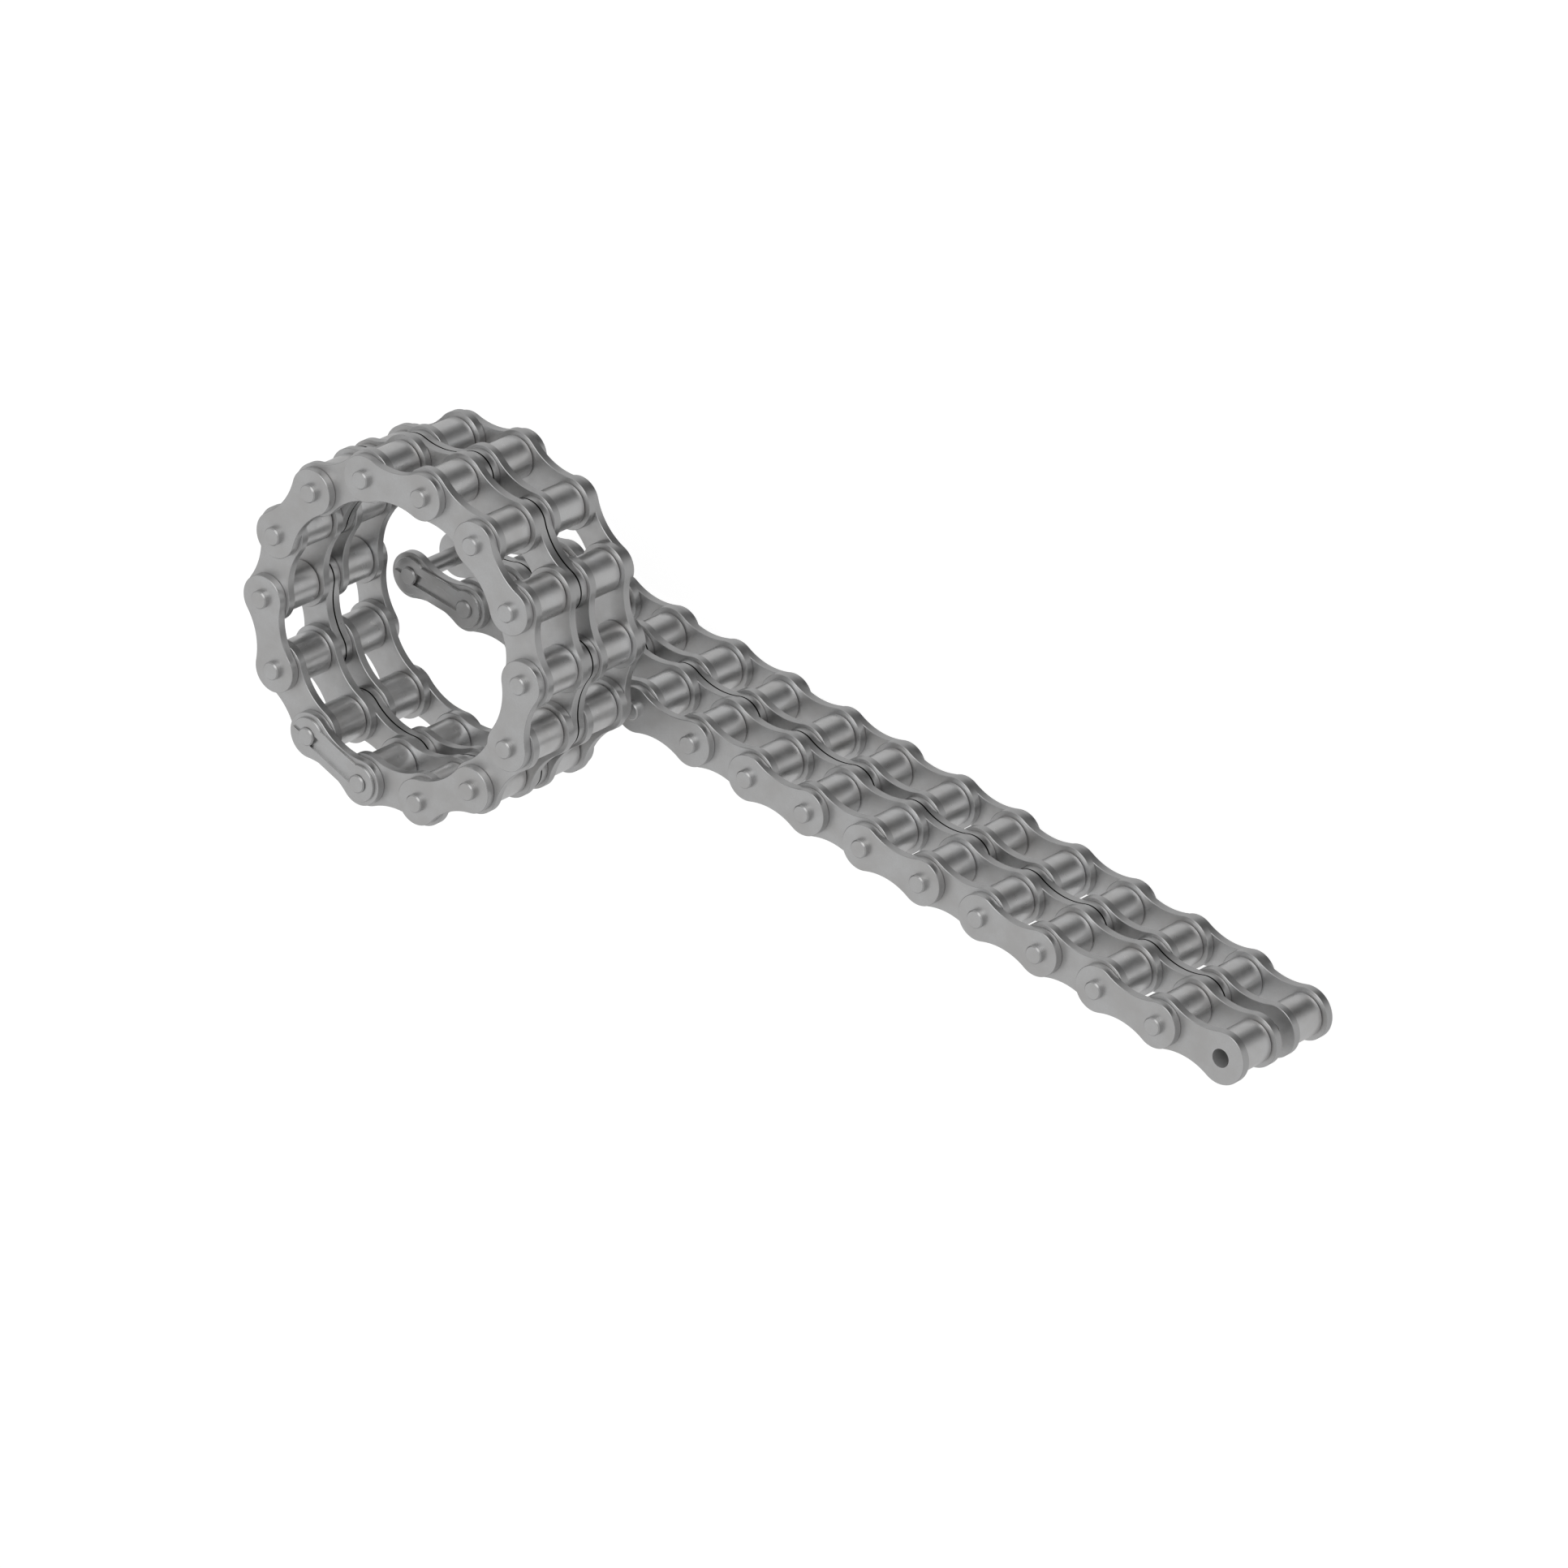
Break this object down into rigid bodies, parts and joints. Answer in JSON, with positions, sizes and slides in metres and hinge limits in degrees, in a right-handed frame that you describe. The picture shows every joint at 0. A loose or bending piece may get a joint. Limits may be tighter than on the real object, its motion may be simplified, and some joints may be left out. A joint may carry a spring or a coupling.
{
  "type": "roller chain",
  "caption": "Duplex roller drive chain: a straight open length that passes behind a closed ring, each joined by a connecting link with a spring clip.",
  "frame": {"origin": "on the axis of the open bush at the free end of the straight length, at the lower face of its lowest inner plate", "axes": "+X along the straight length towards its connecting link; +Z along the pins, towards the side with the spring clips; +Y completes a right-handed set"},
  "size_m": [0.244, 0.0832, 0.0764],
  "materials": {
    "inner_link_steel": "matt, lightly oiled",
    "outer_link_steel": "matt, lightly oiled",
    "roller_steel": "satin, turned",
    "clip_steel": "satin"
  },
  "bodies": {
    "straight_inner_link_1": {"straight_inner_link_1": "inner_link_steel"},
    "straight_outer_link_1": {"straight_outer_link_1": "outer_link_steel"},
    "straight_inner_link_2": {"straight_inner_link_2": "inner_link_steel"},
    "straight_outer_link_2": {"straight_outer_link_2": "outer_link_steel"},
    "straight_inner_link_3": {"straight_inner_link_3": "inner_link_steel"},
    "straight_outer_link_3": {"straight_outer_link_3": "outer_link_steel"},
    "straight_inner_link_4": {"straight_inner_link_4": "inner_link_steel"},
    "straight_outer_link_4": {"straight_outer_link_4": "outer_link_steel"},
    "straight_inner_link_5": {"straight_inner_link_5": "inner_link_steel"},
    "straight_outer_link_5": {"straight_outer_link_5": "outer_link_steel"},
    "straight_inner_link_6": {"straight_inner_link_6": "inner_link_steel"},
    "straight_outer_link_6": {"straight_outer_link_6": "outer_link_steel"},
    "straight_inner_link_7": {"straight_inner_link_7": "inner_link_steel"},
    "straight_connecting_link": {"straight_connecting_link": "outer_link_steel", "straight_cover_plate": "outer_link_steel", "straight_spring_clip": "clip_steel"},
    "straight_rollers_01": {"straight_rollers_01": "roller_steel"},
    "straight_rollers_02": {"straight_rollers_02": "roller_steel"},
    "straight_rollers_03": {"straight_rollers_03": "roller_steel"},
    "straight_rollers_04": {"straight_rollers_04": "roller_steel"},
    "straight_rollers_05": {"straight_rollers_05": "roller_steel"},
    "straight_rollers_06": {"straight_rollers_06": "roller_steel"},
    "straight_rollers_07": {"straight_rollers_07": "roller_steel"},
    "straight_rollers_08": {"straight_rollers_08": "roller_steel"},
    "straight_rollers_09": {"straight_rollers_09": "roller_steel"},
    "straight_rollers_10": {"straight_rollers_10": "roller_steel"},
    "straight_rollers_11": {"straight_rollers_11": "roller_steel"},
    "straight_rollers_12": {"straight_rollers_12": "roller_steel"},
    "straight_rollers_13": {"straight_rollers_13": "roller_steel"},
    "straight_rollers_14": {"straight_rollers_14": "roller_steel"},
    "ring_inner_link_1": {"ring_inner_link_1": "inner_link_steel"},
    "ring_outer_link_1": {"ring_outer_link_1": "outer_link_steel"},
    "ring_inner_link_2": {"ring_inner_link_2": "inner_link_steel"},
    "ring_outer_link_2": {"ring_outer_link_2": "outer_link_steel"},
    "ring_inner_link_3": {"ring_inner_link_3": "inner_link_steel"},
    "ring_outer_link_3": {"ring_outer_link_3": "outer_link_steel"},
    "ring_inner_link_4": {"ring_inner_link_4": "inner_link_steel"},
    "ring_outer_link_4": {"ring_outer_link_4": "outer_link_steel"},
    "ring_inner_link_5": {"ring_inner_link_5": "inner_link_steel"},
    "ring_outer_link_5": {"ring_outer_link_5": "outer_link_steel"},
    "ring_inner_link_6": {"ring_inner_link_6": "inner_link_steel"},
    "ring_outer_link_6": {"ring_outer_link_6": "outer_link_steel"},
    "ring_inner_link_7": {"ring_inner_link_7": "inner_link_steel"},
    "ring_connecting_link": {"ring_connecting_link": "outer_link_steel", "ring_cover_plate": "outer_link_steel", "ring_spring_clip": "clip_steel"},
    "ring_rollers_01": {"ring_rollers_01": "roller_steel"},
    "ring_rollers_02": {"ring_rollers_02": "roller_steel"},
    "ring_rollers_03": {"ring_rollers_03": "roller_steel"},
    "ring_rollers_04": {"ring_rollers_04": "roller_steel"},
    "ring_rollers_05": {"ring_rollers_05": "roller_steel"},
    "ring_rollers_06": {"ring_rollers_06": "roller_steel"},
    "ring_rollers_07": {"ring_rollers_07": "roller_steel"},
    "ring_rollers_08": {"ring_rollers_08": "roller_steel"},
    "ring_rollers_09": {"ring_rollers_09": "roller_steel"},
    "ring_rollers_10": {"ring_rollers_10": "roller_steel"},
    "ring_rollers_11": {"ring_rollers_11": "roller_steel"},
    "ring_rollers_12": {"ring_rollers_12": "roller_steel"},
    "ring_rollers_13": {"ring_rollers_13": "roller_steel"},
    "ring_rollers_14": {"ring_rollers_14": "roller_steel"}
  },
  "joints": [
    {"name": "straight_pin_01", "type": "hinge", "parent": "straight_inner_link_1", "child": "straight_outer_link_1", "pos_m": [0.01588, 0, 0.01571], "axis": [0, 0, 1], "range_deg": [-120, 120]},
    {"name": "straight_pin_02", "type": "hinge", "parent": "straight_outer_link_1", "child": "straight_inner_link_2", "pos_m": [0.03175, 0, 0.01571], "axis": [0, 0, -1], "range_deg": [-120, 120]},
    {"name": "straight_pin_03", "type": "hinge", "parent": "straight_inner_link_2", "child": "straight_outer_link_2", "pos_m": [0.04763, 0, 0.01571], "axis": [0, 0, 1], "range_deg": [-120, 120]},
    {"name": "straight_pin_04", "type": "hinge", "parent": "straight_outer_link_2", "child": "straight_inner_link_3", "pos_m": [0.0635, 0, 0.01571], "axis": [0, 0, -1], "range_deg": [-120, 120]},
    {"name": "straight_pin_05", "type": "hinge", "parent": "straight_inner_link_3", "child": "straight_outer_link_3", "pos_m": [0.07938, 0, 0.01571], "axis": [0, 0, 1], "range_deg": [-120, 120]},
    {"name": "straight_pin_06", "type": "hinge", "parent": "straight_outer_link_3", "child": "straight_inner_link_4", "pos_m": [0.09525, 0, 0.01571], "axis": [0, 0, -1], "range_deg": [-120, 120]},
    {"name": "straight_pin_07", "type": "hinge", "parent": "straight_inner_link_4", "child": "straight_outer_link_4", "pos_m": [0.11113, 0, 0.01571], "axis": [0, 0, 1], "range_deg": [-120, 120]},
    {"name": "straight_pin_08", "type": "hinge", "parent": "straight_outer_link_4", "child": "straight_inner_link_5", "pos_m": [0.127, 0, 0.01571], "axis": [0, 0, -1], "range_deg": [-120, 120]},
    {"name": "straight_pin_09", "type": "hinge", "parent": "straight_inner_link_5", "child": "straight_outer_link_5", "pos_m": [0.14288, 0, 0.01571], "axis": [0, 0, 1], "range_deg": [-120, 120]},
    {"name": "straight_pin_10", "type": "hinge", "parent": "straight_outer_link_5", "child": "straight_inner_link_6", "pos_m": [0.15875, 0, 0.01571], "axis": [0, 0, -1], "range_deg": [-120, 120]},
    {"name": "straight_pin_11", "type": "hinge", "parent": "straight_inner_link_6", "child": "straight_outer_link_6", "pos_m": [0.17463, 0, 0.01571], "axis": [0, 0, 1], "range_deg": [-120, 120]},
    {"name": "straight_pin_12", "type": "hinge", "parent": "straight_outer_link_6", "child": "straight_inner_link_7", "pos_m": [0.1905, 0, 0.01571], "axis": [0, 0, -1], "range_deg": [-120, 120]},
    {"name": "straight_pin_13", "type": "hinge", "parent": "straight_inner_link_7", "child": "straight_connecting_link", "pos_m": [0.20638, 0, 0.01571], "axis": [0, 0, 1], "range_deg": [-120, 120]},
    {"name": "ring_lift", "type": "slide", "parent": "straight_inner_link_1", "child": "ring_inner_link_4", "axis": [0, 0, 1], "range_m": [0, 0.05]},
    {"name": "ring_pin_07", "type": "hinge", "parent": "ring_inner_link_4", "child": "ring_outer_link_4", "pos_m": [0.18188, -0.04161, 0.05407], "axis": [0, 0, -1], "range_deg": [-40, 40]},
    {"name": "ring_pin_08", "type": "hinge", "parent": "ring_outer_link_4", "child": "ring_inner_link_5", "pos_m": [0.16948, -0.0317, 0.05407], "axis": [0, 0, -1], "range_deg": [-25, 25]},
    {"name": "ring_pin_09", "type": "hinge", "parent": "ring_inner_link_5", "child": "ring_outer_link_5", "pos_m": [0.16261, -0.01739, 0.05407], "axis": [0, 0, -1], "range_deg": [-9, 9]},
    {"name": "ring_pin_10", "type": "hinge", "parent": "ring_outer_link_5", "child": "ring_inner_link_6", "pos_m": [0.16264, -0.00151, 0.05407], "axis": [0, 0, -1], "range_deg": [-36.1, 36.1]},
    {"name": "ring_pin_11", "type": "hinge", "parent": "ring_inner_link_6", "child": "ring_outer_link_6", "pos_m": [0.16955, 0.01278, 0.05407], "axis": [0, 0, -1], "range_deg": [-36.1, 36.1]},
    {"name": "ring_pin_12", "type": "hinge", "parent": "ring_outer_link_6", "child": "ring_inner_link_7", "pos_m": [0.18197, 0.02266, 0.05407], "axis": [0, 0, -1], "range_deg": [-9, 9]},
    {"name": "ring_pin_13", "type": "hinge", "parent": "ring_inner_link_7", "child": "ring_connecting_link", "pos_m": [0.19745, 0.02617, 0.05407], "axis": [0, 0, -1], "range_deg": [-25, 25]},
    {"name": "ring_pin_06", "type": "hinge", "parent": "ring_inner_link_4", "child": "ring_outer_link_3", "pos_m": [0.19735, -0.04517, 0.05407], "axis": [0, 0, 1], "range_deg": [-25, 25]},
    {"name": "ring_pin_05", "type": "hinge", "parent": "ring_outer_link_3", "child": "ring_inner_link_3", "pos_m": [0.21283, -0.04166, 0.05407], "axis": [0, 0, 1], "range_deg": [-9, 9]},
    {"name": "ring_pin_04", "type": "hinge", "parent": "ring_inner_link_3", "child": "ring_outer_link_2", "pos_m": [0.22526, -0.03178, 0.05407], "axis": [0, 0, 1], "range_deg": [-36.1, 36.1]},
    {"name": "ring_pin_03", "type": "hinge", "parent": "ring_outer_link_2", "child": "ring_inner_link_2", "pos_m": [0.23217, -0.01749, 0.05407], "axis": [0, 0, 1], "range_deg": [-36.1, 36.1]},
    {"name": "ring_pin_02", "type": "hinge", "parent": "ring_inner_link_2", "child": "ring_outer_link_1", "pos_m": [0.23219, -0.00161, 0.05407], "axis": [0, 0, 1], "range_deg": [-9, 9]},
    {"name": "ring_pin_01", "type": "hinge", "parent": "ring_outer_link_1", "child": "ring_inner_link_1", "pos_m": [0.22532, 0.0127, 0.05407], "axis": [0, 0, 1], "range_deg": [-25, 25]},
    {"name": "straight_rollers_01_turn", "type": "hinge", "parent": "straight_inner_link_1", "child": "straight_rollers_01", "pos_m": [0, 0, 0.01571], "axis": [0, 0, 1], "continuous": true},
    {"name": "straight_rollers_02_turn", "type": "hinge", "parent": "straight_inner_link_1", "child": "straight_rollers_02", "pos_m": [0.01588, 0, 0.01571], "axis": [0, 0, 1], "continuous": true},
    {"name": "straight_rollers_03_turn", "type": "hinge", "parent": "straight_inner_link_2", "child": "straight_rollers_03", "pos_m": [0.03175, 0, 0.01571], "axis": [0, 0, 1], "continuous": true},
    {"name": "straight_rollers_04_turn", "type": "hinge", "parent": "straight_inner_link_2", "child": "straight_rollers_04", "pos_m": [0.04763, 0, 0.01571], "axis": [0, 0, 1], "continuous": true},
    {"name": "straight_rollers_05_turn", "type": "hinge", "parent": "straight_inner_link_3", "child": "straight_rollers_05", "pos_m": [0.0635, 0, 0.01571], "axis": [0, 0, 1], "continuous": true},
    {"name": "straight_rollers_06_turn", "type": "hinge", "parent": "straight_inner_link_3", "child": "straight_rollers_06", "pos_m": [0.07938, 0, 0.01571], "axis": [0, 0, 1], "continuous": true},
    {"name": "straight_rollers_07_turn", "type": "hinge", "parent": "straight_inner_link_4", "child": "straight_rollers_07", "pos_m": [0.09525, 0, 0.01571], "axis": [0, 0, 1], "continuous": true},
    {"name": "straight_rollers_08_turn", "type": "hinge", "parent": "straight_inner_link_4", "child": "straight_rollers_08", "pos_m": [0.11113, 0, 0.01571], "axis": [0, 0, 1], "continuous": true},
    {"name": "straight_rollers_09_turn", "type": "hinge", "parent": "straight_inner_link_5", "child": "straight_rollers_09", "pos_m": [0.127, 0, 0.01571], "axis": [0, 0, 1], "continuous": true},
    {"name": "straight_rollers_10_turn", "type": "hinge", "parent": "straight_inner_link_5", "child": "straight_rollers_10", "pos_m": [0.14288, 0, 0.01571], "axis": [0, 0, 1], "continuous": true},
    {"name": "straight_rollers_11_turn", "type": "hinge", "parent": "straight_inner_link_6", "child": "straight_rollers_11", "pos_m": [0.15875, 0, 0.01571], "axis": [0, 0, 1], "continuous": true},
    {"name": "straight_rollers_12_turn", "type": "hinge", "parent": "straight_inner_link_6", "child": "straight_rollers_12", "pos_m": [0.17463, 0, 0.01571], "axis": [0, 0, 1], "continuous": true},
    {"name": "straight_rollers_13_turn", "type": "hinge", "parent": "straight_inner_link_7", "child": "straight_rollers_13", "pos_m": [0.1905, 0, 0.01571], "axis": [0, 0, 1], "continuous": true},
    {"name": "straight_rollers_14_turn", "type": "hinge", "parent": "straight_inner_link_7", "child": "straight_rollers_14", "pos_m": [0.20638, 0, 0.01571], "axis": [0, 0, 1], "continuous": true},
    {"name": "ring_rollers_01_turn", "type": "hinge", "parent": "ring_inner_link_1", "child": "ring_rollers_01", "pos_m": [0.21293, 0.02261, 0.05407], "axis": [0, 0, 1], "continuous": true},
    {"name": "ring_rollers_02_turn", "type": "hinge", "parent": "ring_inner_link_1", "child": "ring_rollers_02", "pos_m": [0.22532, 0.0127, 0.05407], "axis": [0, 0, 1], "continuous": true},
    {"name": "ring_rollers_03_turn", "type": "hinge", "parent": "ring_inner_link_2", "child": "ring_rollers_03", "pos_m": [0.23219, -0.00161, 0.05407], "axis": [0, 0, 1], "continuous": true},
    {"name": "ring_rollers_04_turn", "type": "hinge", "parent": "ring_inner_link_2", "child": "ring_rollers_04", "pos_m": [0.23217, -0.01749, 0.05407], "axis": [0, 0, 1], "continuous": true},
    {"name": "ring_rollers_05_turn", "type": "hinge", "parent": "ring_inner_link_3", "child": "ring_rollers_05", "pos_m": [0.22526, -0.03178, 0.05407], "axis": [0, 0, 1], "continuous": true},
    {"name": "ring_rollers_06_turn", "type": "hinge", "parent": "ring_inner_link_3", "child": "ring_rollers_06", "pos_m": [0.21283, -0.04166, 0.05407], "axis": [0, 0, 1], "continuous": true},
    {"name": "ring_rollers_07_turn", "type": "hinge", "parent": "ring_inner_link_4", "child": "ring_rollers_07", "pos_m": [0.19735, -0.04517, 0.05407], "axis": [0, 0, 1], "continuous": true},
    {"name": "ring_rollers_08_turn", "type": "hinge", "parent": "ring_inner_link_4", "child": "ring_rollers_08", "pos_m": [0.18188, -0.04161, 0.05407], "axis": [0, 0, 1], "continuous": true},
    {"name": "ring_rollers_09_turn", "type": "hinge", "parent": "ring_inner_link_5", "child": "ring_rollers_09", "pos_m": [0.16948, -0.0317, 0.05407], "axis": [0, 0, 1], "continuous": true},
    {"name": "ring_rollers_10_turn", "type": "hinge", "parent": "ring_inner_link_5", "child": "ring_rollers_10", "pos_m": [0.16261, -0.01739, 0.05407], "axis": [0, 0, 1], "continuous": true},
    {"name": "ring_rollers_11_turn", "type": "hinge", "parent": "ring_inner_link_6", "child": "ring_rollers_11", "pos_m": [0.16264, -0.00151, 0.05407], "axis": [0, 0, 1], "continuous": true},
    {"name": "ring_rollers_12_turn", "type": "hinge", "parent": "ring_inner_link_6", "child": "ring_rollers_12", "pos_m": [0.16955, 0.01278, 0.05407], "axis": [0, 0, 1], "continuous": true},
    {"name": "ring_rollers_13_turn", "type": "hinge", "parent": "ring_inner_link_7", "child": "ring_rollers_13", "pos_m": [0.18197, 0.02266, 0.05407], "axis": [0, 0, 1], "continuous": true},
    {"name": "ring_rollers_14_turn", "type": "hinge", "parent": "ring_inner_link_7", "child": "ring_rollers_14", "pos_m": [0.19745, 0.02617, 0.05407], "axis": [0, 0, 1], "continuous": true}
  ],
  "couplings": [
    {"joint": "ring_pin_08", "follows": "ring_pin_07", "ratio": 0.62349},
    {"joint": "ring_pin_09", "follows": "ring_pin_07", "ratio": -0.22252},
    {"joint": "ring_pin_10", "follows": "ring_pin_07", "ratio": -0.90097},
    {"joint": "ring_pin_11", "follows": "ring_pin_07", "ratio": -0.90097},
    {"joint": "ring_pin_12", "follows": "ring_pin_07", "ratio": -0.22252},
    {"joint": "ring_pin_13", "follows": "ring_pin_07", "ratio": 0.62349},
    {"joint": "ring_pin_06", "follows": "ring_pin_07", "ratio": 0.62349},
    {"joint": "ring_pin_05", "follows": "ring_pin_07", "ratio": -0.22252},
    {"joint": "ring_pin_04", "follows": "ring_pin_07", "ratio": -0.90097},
    {"joint": "ring_pin_03", "follows": "ring_pin_07", "ratio": -0.90097},
    {"joint": "ring_pin_02", "follows": "ring_pin_07", "ratio": -0.22252},
    {"joint": "ring_pin_01", "follows": "ring_pin_07", "ratio": 0.62349}
  ]
}
